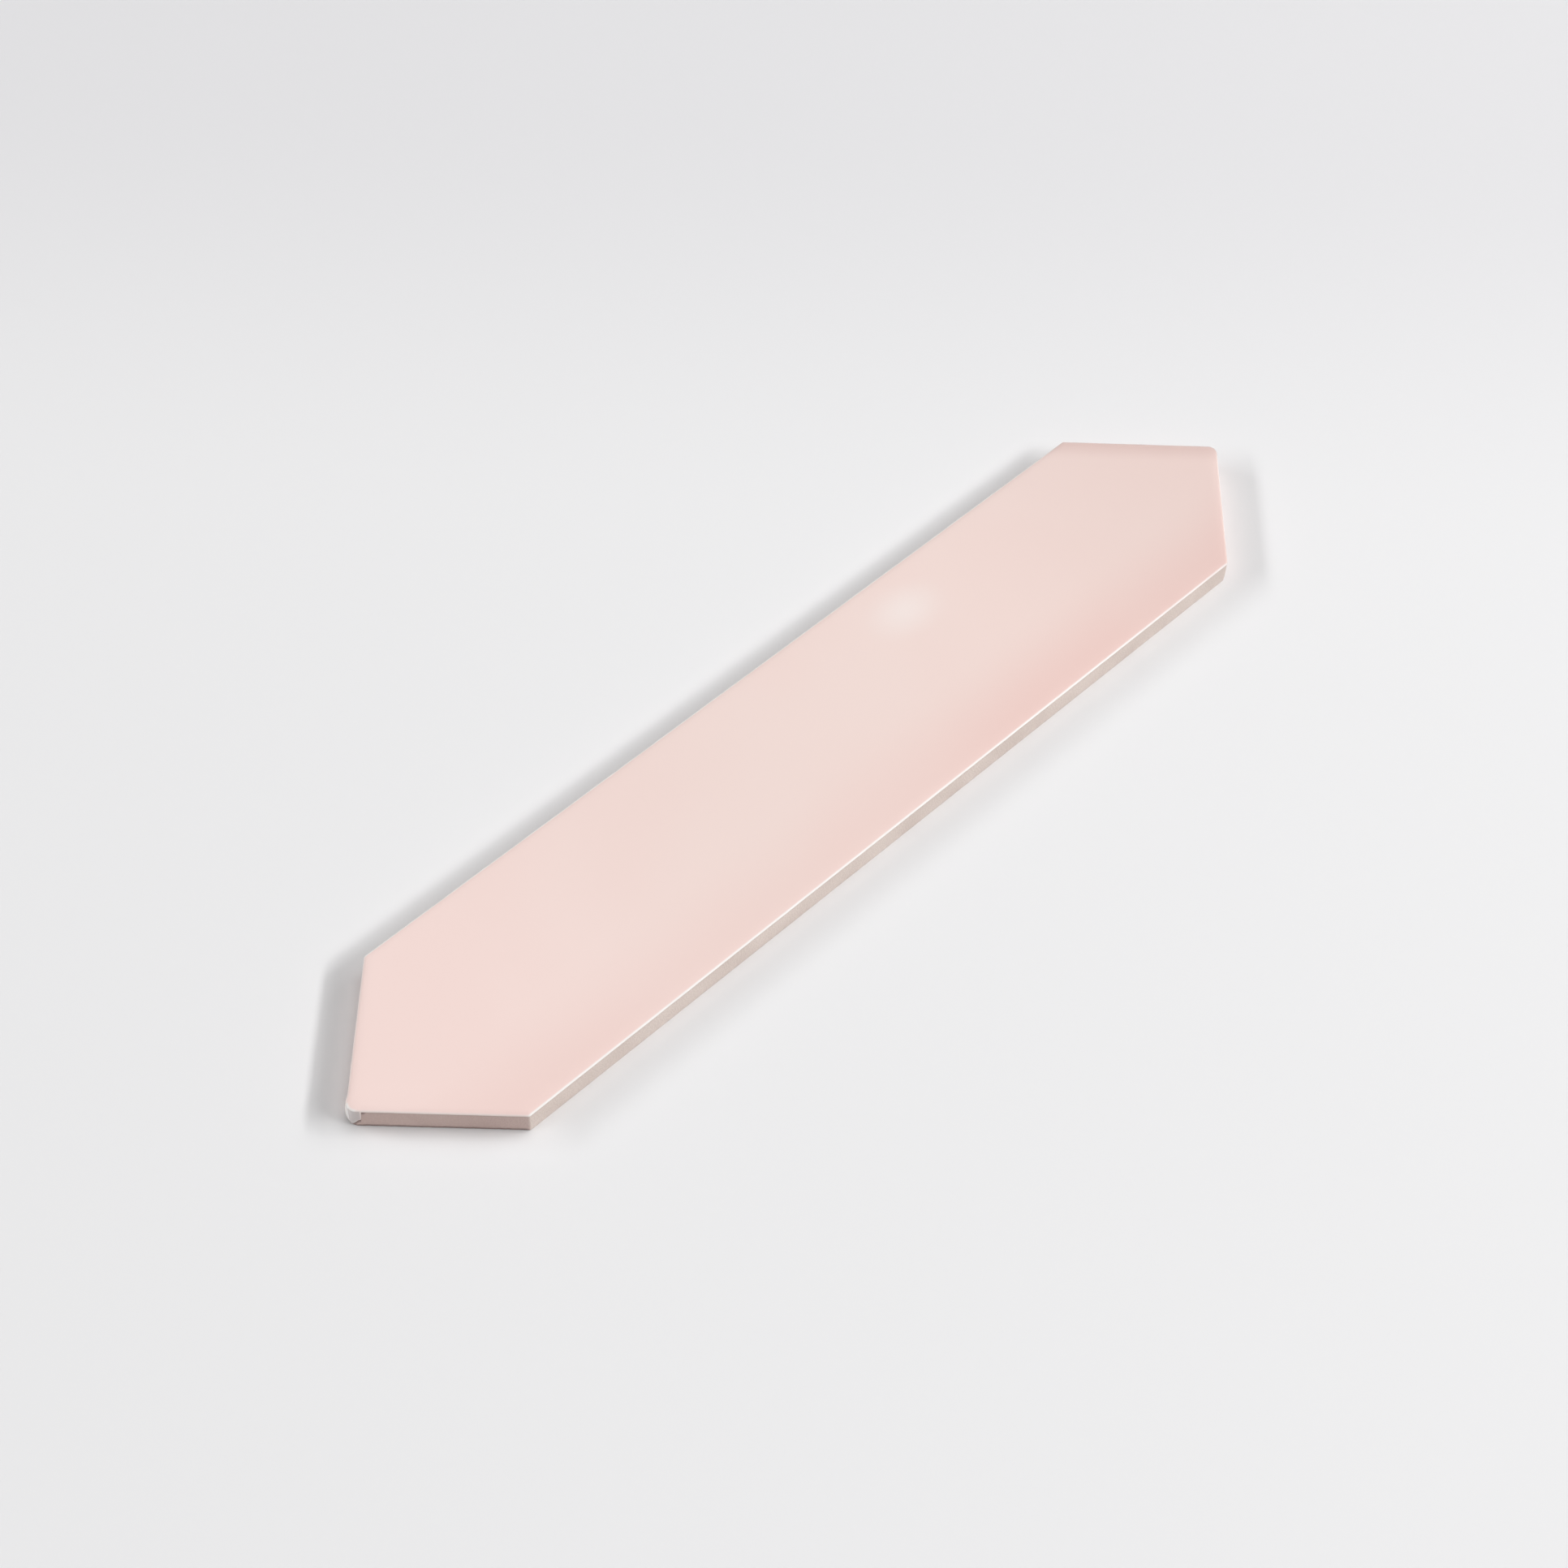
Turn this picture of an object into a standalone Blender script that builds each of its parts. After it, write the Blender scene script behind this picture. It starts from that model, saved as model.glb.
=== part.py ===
"""A pressed and glazed picket tile, lying on its back.

The tile is one fired piece: a long six-sided slab with a point at each end. The glazed face is
slightly cushioned and rolls over at the rim, the glaze ends in a small lip just below it, the bare
sides drop straight to a chamfered foot, and the back is keyed with square pockets for the adhesive.

Units are metres and +Z is up. The tile's long way is X, its back lies on Z = 0, and the origin is
the centre of the back.
"""

import math

import bmesh
import bpy
from mathutils import Matrix

MM = 0.001

# The slab
LENGTH = 330.0 * MM  # over the two rounded points
WIDTH = 65.0 * MM  # over the glaze on the two long sides
THICKNESS = 8.0 * MM  # from the back to the flat of the face
POINT_DEPTH = 32.5 * MM  # how far the sharp point would stand beyond its two shoulders
POINT_ROUNDING = 2.4 * MM  # radius in plan
SHOULDER_ROUNDING = 1.0 * MM  # radius in plan

# The face and its rim
CUSHION_WIDTH = 3.0 * MM  # the band along the rim over which the face falls away
CUSHION_DROP = 0.8 * MM  # how far it falls before the glaze stands upright
CUSHION_FULLNESS = 2.2  # 2 is an ellipse, and more keeps the face flatter up to its rim
GLAZE_WRAP = 1.0 * MM  # from the flat of the face down to the lowest glaze
GLAZE_PROUD = 0.15 * MM  # how far the glaze stands out from the bare side
LIP_RISE = 0.08 * MM  # how far the lip climbs while it steps out that far

# The foot and the back
FOOT_CHAMFER = 0.4 * MM
BACK_BORDER = 3.0 * MM  # least width of the plain margin round the keys
KEY_SIZE = 12.0 * MM  # side of a square key at the back's surface
KEY_RIB = 2.4 * MM  # the land between two keys
KEY_DEPTH = 0.8 * MM
KEY_DRAFT = 0.35 * MM  # how far each wall of a key leans in over its depth

# How finely the round stretches are divided
POINT_SEGMENTS = 8
SHOULDER_SEGMENTS = 4
CUSHION_SEGMENTS = 7
SMOOTH_ANGLE = math.radians(30.0)

BISQUE_COLOUR = (0.60, 0.49, 0.43, 1.0)
BISQUE_ROUGHNESS = 0.85
GLAZE_COLOUR = (0.84, 0.67, 0.62, 1.0)
GLAZE_ROUGHNESS = 0.12

BISQUE_SLOT = 0
GLAZE_SLOT = 1

PART_NAME = "picket_tile"
CUTTER_COLLECTION = "cutters"


def clear_scene():
    for item in list(bpy.data.objects):
        bpy.data.objects.remove(item, do_unlink=True)


def make_collection(name):
    collection = bpy.data.collections.new(name)
    bpy.context.scene.collection.children.link(collection)
    return collection


def make_material(name, colour, roughness):
    material = bpy.data.materials.new(name)
    material.use_nodes = True
    shader = material.node_tree.nodes["Principled BSDF"]
    shader.inputs["Base Color"].default_value = colour
    shader.inputs["Roughness"].default_value = roughness
    shader.inputs["Metallic"].default_value = 0.0
    material.diffuse_color = colour
    return material


def slant_per_inset():
    """How far a slanting end moves along X when it moves inwards by one unit of distance."""
    return math.hypot(WIDTH / 2, POINT_DEPTH) / (WIDTH / 2)


def half_width(inset):
    return WIDTH / 2 - inset


def sharp_reach(inset):
    """The distance from the tile's middle to its sharp point, before the point is rounded."""
    half_angle = math.atan2(WIDTH / 2, POINT_DEPTH)
    lost_to_rounding = POINT_ROUNDING * (1 / math.sin(half_angle) - 1)
    return LENGTH / 2 + lost_to_rounding - inset * slant_per_inset()


def reach_at(y, inset):
    """Half the length of the inset outline at the distance y from the tile's centre line."""
    return sharp_reach(inset) - abs(y) * POINT_DEPTH / (WIDTH / 2)


def sharp_corners(inset):
    """The six corners of the inset outline, anticlockwise from the right-hand point."""
    side = half_width(inset)
    tip = sharp_reach(inset)
    shoulder = reach_at(side, inset)
    return [
        (tip, 0.0, POINT_ROUNDING, POINT_SEGMENTS),
        (shoulder, side, SHOULDER_ROUNDING, SHOULDER_SEGMENTS),
        (-shoulder, side, SHOULDER_ROUNDING, SHOULDER_SEGMENTS),
        (-tip, 0.0, POINT_ROUNDING, POINT_SEGMENTS),
        (-shoulder, -side, SHOULDER_ROUNDING, SHOULDER_SEGMENTS),
        (shoulder, -side, SHOULDER_ROUNDING, SHOULDER_SEGMENTS),
    ]


def corner_arc(before, corner, after):
    """Points on the arc that rounds one convex corner, touching both of its sides."""
    x, y, radius, segments = corner
    into = math.atan2(y - before[1], x - before[0])
    turn = (math.atan2(after[1] - y, after[0] - x) - into) % (2 * math.pi)
    setback = radius * math.tan(turn / 2)
    start_x = x - setback * math.cos(into)
    start_y = y - setback * math.sin(into)
    centre_x = start_x - radius * math.sin(into)
    centre_y = start_y + radius * math.cos(into)
    arc = []
    for step in range(segments + 1):
        heading = into + turn * step / segments
        arc.append((centre_x + radius * math.sin(heading), centre_y - radius * math.cos(heading)))
    return arc


def outline(inset):
    """The tile's plan outline, moved inwards by inset, with the same roundings at every level."""
    corners = sharp_corners(inset)
    points = []
    for index, corner in enumerate(corners):
        before = corners[index - 1]
        after = corners[(index + 1) % len(corners)]
        points.extend(corner_arc(before, corner, after))
    return points


def cushion_profile():
    """Inset and height along the face's rim, a quarter of a superellipse from upright to flat."""
    profile = []
    for step in range(CUSHION_SEGMENTS + 1):
        angle = math.pi / 2 * step / CUSHION_SEGMENTS
        across = 1 - math.cos(angle) ** (2 / CUSHION_FULLNESS)
        up = math.sin(angle) ** (2 / CUSHION_FULLNESS)
        height = THICKNESS - CUSHION_DROP * (1 - up)
        profile.append((CUSHION_WIDTH * across, height))
    return profile


def slab_levels():
    """The slab's section from foot to face: inset, height, and the material of the strip above."""
    lip_bottom = THICKNESS - GLAZE_WRAP
    levels = [
        (GLAZE_PROUD + FOOT_CHAMFER, 0.0, BISQUE_SLOT),
        (GLAZE_PROUD, FOOT_CHAMFER, BISQUE_SLOT),
        (GLAZE_PROUD, lip_bottom, GLAZE_SLOT),
        (0.0, lip_bottom + LIP_RISE, GLAZE_SLOT),
    ]
    for inset, height in cushion_profile():
        levels.append((inset, height, GLAZE_SLOT))
    return levels


def loft(name, levels):
    """A closed solid through the outline at each level, with a flat bottom and a flat top."""
    bm = bmesh.new()
    rings = []
    for inset, height, _ in levels:
        rings.append([bm.verts.new((x, y, height)) for x, y in outline(inset)])
    count = len(rings[0])
    bottom = bm.faces.new(list(reversed(rings[0])))
    bottom.material_index = levels[0][2]
    top = bm.faces.new(rings[-1])
    top.material_index = levels[-1][2]
    for level, (lower, upper) in enumerate(zip(rings, rings[1:])):
        for index in range(count):
            following = (index + 1) % count
            face = bm.faces.new((lower[index], lower[following], upper[following], upper[index]))
            face.material_index = levels[level][2]
    mesh = bpy.data.meshes.new(name)
    bm.to_mesh(mesh)
    bm.free()
    return bpy.data.objects.new(name, mesh)


def add_boolean(target, cutter, operation):
    modifier = target.modifiers.new(f"{operation.lower()}_{cutter.name}", "BOOLEAN")
    modifier.operation = operation
    modifier.solver = "EXACT"
    modifier.object = cutter


def mark_as_cutter(cutter, collection):
    collection.objects.link(cutter)
    cutter.hide_render = True
    cutter.display_type = "WIRE"


def back_field_inset():
    """The keys stay inside this inset, which leaves the border plain as far as the foot's edge."""
    return GLAZE_PROUD + FOOT_CHAMFER + BACK_BORDER


def key_places():
    """Centres of the keys: a square grid about the middle, where four lands cross at the origin.

    A key is kept where its centre lies inside the field, so none is cut down to a sliver.
    """
    pitch = KEY_SIZE + KEY_RIB
    inset = back_field_inset()
    places = []
    rows = math.floor(half_width(inset) / pitch + 0.5)
    for row in range(-rows, rows):
        y = (row + 0.5) * pitch
        columns = math.floor(reach_at(y, inset) / pitch + 0.5)
        for column in range(-columns, columns):
            places.append(((column + 0.5) * pitch, y))
    return places


def make_keys(collection):
    """The pockets of the back as one cutter: tapered squares, trimmed to the border's inner edge.

    Each square stands half above the back's plane and half below it, and the field that trims
    them is twice as tall, so that no two faces of a cut lie in one plane.
    """
    open_side = KEY_SIZE + 2 * KEY_DRAFT
    deep_side = KEY_SIZE - 2 * KEY_DRAFT
    square_from_corner = Matrix.Rotation(math.radians(45.0), 4, "Z")
    bm = bmesh.new()
    for x, y in key_places():
        bmesh.ops.create_cone(
            bm,
            cap_ends=True,
            segments=4,
            radius1=open_side / math.sqrt(2),
            radius2=deep_side / math.sqrt(2),
            depth=2 * KEY_DEPTH,
            matrix=Matrix.Translation((x, y, 0.0)) @ square_from_corner,
        )
    mesh = bpy.data.meshes.new("back_keys")
    bm.to_mesh(mesh)
    bm.free()
    keys = bpy.data.objects.new("back_keys", mesh)
    mark_as_cutter(keys, collection)

    inset = back_field_inset()
    field_levels = [(inset, height, BISQUE_SLOT) for height in (-2 * KEY_DEPTH, 2 * KEY_DEPTH)]
    field = loft("key_field", field_levels)
    mark_as_cutter(field, collection)
    add_boolean(keys, field, "INTERSECT")
    return keys


def make_tile(collection, cutters):
    tile = loft(PART_NAME, slab_levels())
    tile.data.materials.append(make_material("bisque", BISQUE_COLOUR, BISQUE_ROUGHNESS))
    tile.data.materials.append(make_material("glaze", GLAZE_COLOUR, GLAZE_ROUGHNESS))
    tile.data.shade_smooth()
    tile.data.set_sharp_from_angle(angle=SMOOTH_ANGLE)
    collection.objects.link(tile)
    add_boolean(tile, make_keys(cutters), "DIFFERENCE")
    return tile


clear_scene()
make_tile(make_collection(PART_NAME), make_collection(CUTTER_COLLECTION))
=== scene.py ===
"""The looks of a glazed picket tile that lies on its back on a pale studio floor.

Units are metres and +Z is up. The tile lies along X with its back on Z = 0.
"""

import math

import bmesh
import bpy
from mathutils import Matrix, Vector, noise


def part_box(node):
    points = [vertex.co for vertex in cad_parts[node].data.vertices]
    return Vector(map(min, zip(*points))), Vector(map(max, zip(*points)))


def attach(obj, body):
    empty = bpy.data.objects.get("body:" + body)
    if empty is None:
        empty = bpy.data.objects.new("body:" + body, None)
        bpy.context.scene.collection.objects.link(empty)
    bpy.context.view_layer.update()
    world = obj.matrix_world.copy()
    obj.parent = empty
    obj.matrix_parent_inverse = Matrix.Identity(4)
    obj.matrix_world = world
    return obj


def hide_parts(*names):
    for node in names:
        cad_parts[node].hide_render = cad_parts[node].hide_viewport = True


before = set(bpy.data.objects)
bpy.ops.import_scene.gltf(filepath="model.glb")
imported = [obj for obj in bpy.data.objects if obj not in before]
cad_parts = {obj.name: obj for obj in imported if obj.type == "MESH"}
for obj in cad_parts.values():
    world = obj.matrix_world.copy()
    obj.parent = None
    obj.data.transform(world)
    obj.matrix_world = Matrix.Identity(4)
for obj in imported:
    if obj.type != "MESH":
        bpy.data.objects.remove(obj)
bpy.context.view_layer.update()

# The plan of the tile
# One slab of pressed clay with two long sides, four slanting ends and two points. The die leaves
# the points softly rounded and the four shoulders almost sharp.
MM = 0.001
CAD_NODE = "picket_tile"
high_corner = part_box(CAD_NODE)[1]
HALF_LENGTH = high_corner.x
HALF_WIDTH = high_corner.y
THICKNESS = high_corner.z
POINT_DEPTH = 32.5 * MM
POINT_ROUNDING = 2.4 * MM
SHOULDER_ROUNDING = 1.0 * MM

POINT_STEPS = 24
SHOULDER_STEPS = 8
LONG_SIDE_STEP = 1.3 * MM
SLANT_STEP = 0.9 * MM
RUN_STEP = 0.12 * MM  # the steps are finer beside the point where the glaze has run
RUN_SIDE_LENGTH = 3.2 * MM

slant_length = math.hypot(HALF_WIDTH, POINT_DEPTH)
long_side_length = 2 * (HALF_LENGTH - POINT_DEPTH)
sharp_reach = HALF_LENGTH + POINT_ROUNDING * (slant_length / HALF_WIDTH - 1)


def even_fractions(length, step):
    """Fractions along a straight side, its two ends left out."""
    count = round(length / step)
    return [index / count for index in range(1, count)]


def run_side_fractions():
    """Fractions along a slanting end that starts at the point with the run, fine at first."""
    share = RUN_SIDE_LENGTH / slant_length
    count = round(RUN_SIDE_LENGTH / RUN_STEP)
    fine = [share * index / count for index in range(1, count + 1)]
    rest = even_fractions(slant_length - RUN_SIDE_LENGTH, SLANT_STEP)
    return fine + [share + (1 - share) * fraction for fraction in rest]


long_fractions = even_fractions(long_side_length, LONG_SIDE_STEP)
slant_fractions = even_fractions(slant_length, SLANT_STEP)
from_run_fractions = run_side_fractions()
to_run_fractions = [1 - fraction for fraction in reversed(from_run_fractions)]


def plan_corners(inset):
    """The corners of the plan moved inwards, anticlockwise from the right-hand point.

    Each has its place, rounding and arc steps, and the fractions of the side that follows it.
    """
    kept = 1 - inset / HALF_WIDTH
    side = HALF_WIDTH * kept
    tip = sharp_reach - inset * slant_length / HALF_WIDTH
    shoulder = tip - POINT_DEPTH * kept
    point = (POINT_ROUNDING * kept, POINT_STEPS)
    bend = (SHOULDER_ROUNDING * kept, SHOULDER_STEPS)
    return [
        (tip, 0.0, *point, slant_fractions),
        (shoulder, side, *bend, long_fractions),
        (-shoulder, side, *bend, to_run_fractions),
        (-tip, 0.0, *point, from_run_fractions),
        (-shoulder, -side, *bend, long_fractions),
        (shoulder, -side, *bend, slant_fractions),
    ]


def corner_arc(before, corner, after):
    """Points of the arc that rounds a convex corner and touches both of its sides."""
    x, y, radius, steps = corner[:4]
    into = math.atan2(y - before[1], x - before[0])
    turn = (math.atan2(after[1] - y, after[0] - x) - into) % math.tau
    setback = radius * math.tan(turn / 2)
    centre_x = x - setback * math.cos(into) - radius * math.sin(into)
    centre_y = y - setback * math.sin(into) + radius * math.cos(into)
    headings = [into + turn * step / steps for step in range(steps + 1)]
    return [(centre_x + radius * math.sin(h), centre_y - radius * math.cos(h)) for h in headings]


def plan_ring(inset):
    """The plan moved inwards by inset, with the same number of points at every inset."""
    corners = plan_corners(inset)
    count = len(corners)
    arcs = []
    for index, corner in enumerate(corners):
        arcs.append(corner_arc(corners[index - 1], corner, corners[(index + 1) % count]))
    points = []
    for index, corner in enumerate(corners):
        start = Vector(arcs[index][-1])
        end = Vector(arcs[(index + 1) % count][0])
        points.extend(arcs[index])
        points.extend(tuple(start.lerp(end, fraction)) for fraction in corner[4])
    return points


def distances_from_run(points):
    """How far each rim point lies from the left-hand point, negative on its far side."""
    apex = min(range(len(points)), key=lambda index: points[index][0])
    travelled = [0.0]
    for before, after in zip(points, points[1:]):
        travelled.append(travelled[-1] + math.dist(before, after))
    return [distance - travelled[apex] for distance in travelled]


def wobble(x, y, z, wavelength, seed):
    """Smooth noise between -1 and 1 over the tile, at one wavelength."""
    return noise.noise(Vector((x / wavelength + seed, y / wavelength, z / wavelength)))


def smooth_step(low, high, value):
    part = min(max((value - low) / (high - low), 0.0), 1.0)
    return part * part * (3 - 2 * part)


# The finish of fired clay
# Both the bare body and the glaze carry what the kiln leaves: broad soft clouds and a fine grain.
# One group makes them, and each material takes them at its own sizes.
NOISE_LOW = 0.3  # the noise seldom leaves this span, which is spread over 0 to 1
NOISE_HIGH = 0.7
CLOUD_DETAIL = 1.5
GRAIN_DETAIL = 3.0


def add_node(tree, kind, **settings):
    node = tree.nodes.new(kind)
    for name, value in settings.items():
        setattr(node, name, value)
    return node


def join(tree, source, target):
    tree.links.new(source, target)


def spread(tree, value, low, high, to_low=0.0, to_high=1.0):
    """A value mapped smoothly from low and high to two other values, and held between them."""
    node = add_node(tree, "ShaderNodeMapRange", interpolation_type="SMOOTHSTEP")
    settings = {"From Min": low, "From Max": high, "To Min": to_low, "To Max": to_high}
    for name, number in settings.items():
        node.inputs[name].default_value = number
    join(tree, value, node.inputs["Value"])
    return node.outputs["Result"]


def blend_colours(tree, share, first, second):
    """The first colour where share is 0 and the second where it is 1. Each may be a socket."""
    node = add_node(tree, "ShaderNodeMix", data_type="RGBA")
    colour_inputs = [socket for socket in node.inputs if socket.type == "RGBA"]
    colour_output = next(socket for socket in node.outputs if socket.type == "RGBA")
    join(tree, share, node.inputs["Factor"])
    for socket, colour in zip(colour_inputs, (first, second)):
        if isinstance(colour, bpy.types.NodeSocket):
            join(tree, colour, socket)
        else:
            socket.default_value = (*colour, 1.0)
    return colour_output


def noise_of_size(tree, vector, size, detail):
    """Noise from 0 to 1 whose blots are about as large as size says."""
    per_metre = add_node(tree, "ShaderNodeMath", operation="DIVIDE")
    per_metre.inputs[0].default_value = 1.0
    join(tree, size, per_metre.inputs[1])
    texture = add_node(tree, "ShaderNodeTexNoise")
    texture.inputs["Detail"].default_value = detail
    join(tree, vector, texture.inputs["Vector"])
    join(tree, per_metre.outputs[0], texture.inputs["Scale"])
    return spread(tree, texture.outputs["Fac"], NOISE_LOW, NOISE_HIGH)


kiln_marks = bpy.data.node_groups.new("kiln_marks", "ShaderNodeTree")
for socket_name, socket_type, side in (
    ("Place", "NodeSocketVector", "INPUT"),
    ("Cloud Size", "NodeSocketFloat", "INPUT"),
    ("Grain Size", "NodeSocketFloat", "INPUT"),
    ("Clouds", "NodeSocketFloat", "OUTPUT"),
    ("Grain", "NodeSocketFloat", "OUTPUT"),
):
    kiln_marks.interface.new_socket(socket_name, in_out=side, socket_type=socket_type)
marks_in = add_node(kiln_marks, "NodeGroupInput").outputs
marks_out = add_node(kiln_marks, "NodeGroupOutput").inputs
clouds = noise_of_size(kiln_marks, marks_in["Place"], marks_in["Cloud Size"], CLOUD_DETAIL)
grain = noise_of_size(kiln_marks, marks_in["Place"], marks_in["Grain Size"], GRAIN_DETAIL)
join(kiln_marks, clouds, marks_out["Clouds"])
join(kiln_marks, grain, marks_out["Grain"])


def new_finish(name, cloud_size, grain_size):
    """A new material, with its place on the tile and the marks of the kiln ready to use."""
    material = bpy.data.materials.new(name)
    material.use_nodes = True
    tree = material.node_tree
    place = add_node(tree, "ShaderNodeTexCoord").outputs["Object"]
    marks = add_node(tree, "ShaderNodeGroup", node_tree=kiln_marks)
    marks.inputs["Cloud Size"].default_value = cloud_size
    marks.inputs["Grain Size"].default_value = grain_size
    join(tree, place, marks.inputs["Place"])
    return material, tree, tree.nodes["Principled BSDF"], place, marks.outputs


def add_bump(tree, shader, height, depth):
    bump = add_node(tree, "ShaderNodeBump")
    bump.inputs["Strength"].default_value = 1.0
    bump.inputs["Distance"].default_value = depth
    join(tree, height, bump.inputs["Height"])
    join(tree, bump.outputs["Normal"], shader.inputs["Normal"])


def combine(tree, operation, first, second):
    """Two values added or multiplied, and held between 0 and 1."""
    node = add_node(tree, "ShaderNodeMath", operation=operation, use_clamp=True)
    join(tree, first, node.inputs[0])
    join(tree, second, node.inputs[1])
    return node.outputs[0]


def painted(tree, name):
    return add_node(tree, "ShaderNodeAttribute", attribute_name=name).outputs["Fac"]


# The fired body
# Beige-grey pressed clay, left bare on the sides and the back. Its sides bow a little, its foot is
# worn round and uneven, most of all at the two ends. The ends are painted darker and warmer as
# painted shade, and painted shade also darkens the foot of the ends, the clay under the glaze lip
# and the clay under the run.
GLAZE_WRAP = 1.0 * MM
GLAZE_PROUD = 0.15 * MM
FOOT_CHAMFER = 0.4 * MM
LONG_SIDE_WEAR = 0.3  # the foot of the long sides has that share of the ends' wear
END_BLEND = 0.6 * MM
FOOT_WAVE = 0.4  # a share of the wear
FOOT_WAVELENGTH = 1.6 * MM
FOOT_SEED = 5.3  # each seed picks another stretch of the same noise
FOOT_BAND = 1.0 * MM  # the flat band of the back that carries on the painted shade
SIDE_BOW = 0.1 * MM
SIDE_WAVE = 0.03 * MM
SIDE_WAVELENGTH = 3.0 * MM
SIDE_SEED = 2.2
FOOT_STEPS = 4
SIDE_STEPS = 9
SIDE_CROWDING = 1.5  # above 1, the steps crowd up under the glaze
# Painted shade on the bare clay: darker at the foot of the ends, under the glaze lip, and wider
# under the run.
FOOT_SHADE_HEIGHT = 0.9 * MM
LIP_SHADE_HEIGHT = 0.55 * MM
LIP_SHADE_SHARE = 0.5
RUN_SHADE_HEIGHT = 1.8 * MM  # the painted shade on the clay under the run of glaze
RUN_SHADE_PLACE = 2.4 * MM
RUN_SHADE_REACH = 2.4 * MM

BISQUE_PALE = (0.785, 0.683, 0.628)
BISQUE_DEEP = (0.715, 0.613, 0.56)
BISQUE_GRAIN = (0.55, 0.45, 0.40)
# painted shade on the ends: darker and warmer, as on the shaded end faces
BISQUE_SHADED_END = (0.67, 0.40, 0.37)
# painted shade at the foot of the ends, under the glaze lip and under the run
BISQUE_SHADE = (0.25, 0.17, 0.155)
BISQUE_CLOUD = 16.0 * MM
BISQUE_GRAIN_SIZE = 0.5 * MM
BISQUE_ROUGH = 0.8
BISQUE_ROUGHEST = 0.95
BISQUE_SHEEN = 0.15
BISQUE_RELIEF = 0.05 * MM
GRAIN_SHARE = 0.22
SHADED_END_SHARE = 0.35
SHADE_SHARE = 0.8

bisque, tree, shader, place, marks = new_finish("bisque", BISQUE_CLOUD, BISQUE_GRAIN_SIZE)
colour = blend_colours(tree, marks["Clouds"], BISQUE_PALE, BISQUE_DEEP)
grain_share = spread(tree, marks["Grain"], 0.0, 1.0, 0.0, GRAIN_SHARE)
colour = blend_colours(tree, grain_share, colour, BISQUE_GRAIN)
# The ends are painted darker and warmer: painted shade, as on the shaded end faces.
shaded_end_share = spread(tree, painted(tree, "shaded_ends"), 0.0, 1.0, 0.0, SHADED_END_SHARE)
colour = blend_colours(tree, shaded_end_share, colour, BISQUE_SHADED_END)
# Painted shade at the foot of the ends, under the glaze lip and under the run.
shade_share = spread(tree, painted(tree, "painted_shade"), 0.0, 1.0, 0.0, SHADE_SHARE)
colour = blend_colours(tree, shade_share, colour, BISQUE_SHADE)
join(tree, colour, shader.inputs["Base Color"])
rough = spread(tree, marks["Grain"], 0.0, 1.0, BISQUE_ROUGH, BISQUE_ROUGHEST)
join(tree, rough, shader.inputs["Roughness"])
shader.inputs["Specular IOR Level"].default_value = BISQUE_SHEEN
add_bump(tree, shader, marks["Grain"], BISQUE_RELIEF)


def end_share(x):
    """1 along the slanting ends, 0 along the long sides, and a short blend at the shoulders."""
    shoulder = sharp_reach - POINT_DEPTH
    return smooth_step(shoulder - END_BLEND, shoulder + END_BLEND, abs(x))


def run_shade_share(distance):
    """How much painted shade the clay gets below the run of glaze, at a distance along the rim from
    the point.
    """
    return 1 - smooth_step(RUN_SHADE_REACH / 2, RUN_SHADE_REACH, abs(distance - RUN_SHADE_PLACE))


def body_levels(x, y, lip, run_shade):
    """Inset, height and painted shade up the bare side at one place, from the foot to the lip."""
    wear = LONG_SIDE_WEAR + (1 - LONG_SIDE_WEAR) * end_share(x)
    unevenness = FOOT_WAVE * wobble(x, y, 0.0, FOOT_WAVELENGTH, FOOT_SEED)
    chamfer = FOOT_CHAMFER * wear * (1 + unevenness)
    levels = [(GLAZE_PROUD + chamfer + FOOT_BAND, 0.0, 0.0)]
    for step in range(FOOT_STEPS):
        angle = math.pi / 2 * step / FOOT_STEPS
        inset = GLAZE_PROUD + chamfer * (1 - math.sin(angle))
        levels.append((inset, chamfer * (1 - math.cos(angle)), end_share(x)))
    lip_band = LIP_SHADE_HEIGHT + (RUN_SHADE_HEIGHT - LIP_SHADE_HEIGHT) * run_shade
    lip_depth = LIP_SHADE_SHARE + (1 - LIP_SHADE_SHARE) * run_shade
    for step in range(SIDE_STEPS + 1):
        share = 1 - (1 - step / SIDE_STEPS) ** SIDE_CROWDING
        height = chamfer + (lip - chamfer) * share
        wave = SIDE_WAVE * wobble(x, y, height, SIDE_WAVELENGTH, SIDE_SEED)
        bulge = (SIDE_BOW + wave) * math.sin(math.pi * share)
        foot_shade = end_share(x) * (1 - smooth_step(chamfer, chamfer + FOOT_SHADE_HEIGHT, height))
        lip_shade = lip_depth * smooth_step(lip - lip_band, lip, height)
        levels.append((GLAZE_PROUD - bulge, height, max(foot_shade, lip_shade)))
    return levels


# The glaze
# A glossy pale pink glaze, poured over the face before firing. It shrinks back from the rim into a
# low cushion, breaks pale where it is thin, ends in a wavy lip, and has run down over one point.
# Its colour also holds painted light: a highlight along the long rims, a glint and a grey painted
# reflection of the floor at the run, the reflection of a lamp on the face, and shade towards the
# right-hand end.
CUSHION_WIDTH = 3.0 * MM
CUSHION_DROP = 0.8 * MM
CUSHION_FULLNESS = 2.2
CUSHION_WAVE = 0.12
CUSHION_WAVELENGTH = 11.0 * MM
CUSHION_SEED = 6.4
LIP_WAVE = 0.09 * MM
LIP_WAVELENGTH = 7.0 * MM
LIP_SEED = 3.1
LIP_RIPPLE = 0.05 * MM
LIP_RIPPLE_LENGTH = 1.8 * MM
LIP_RIPPLE_SEED = 8.7
LIP_BEAD = 0.16 * MM
FACE_WAVE = 0.05 * MM
FACE_WAVELENGTH = 28.0 * MM
FACE_SEED = 1.7
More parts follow.
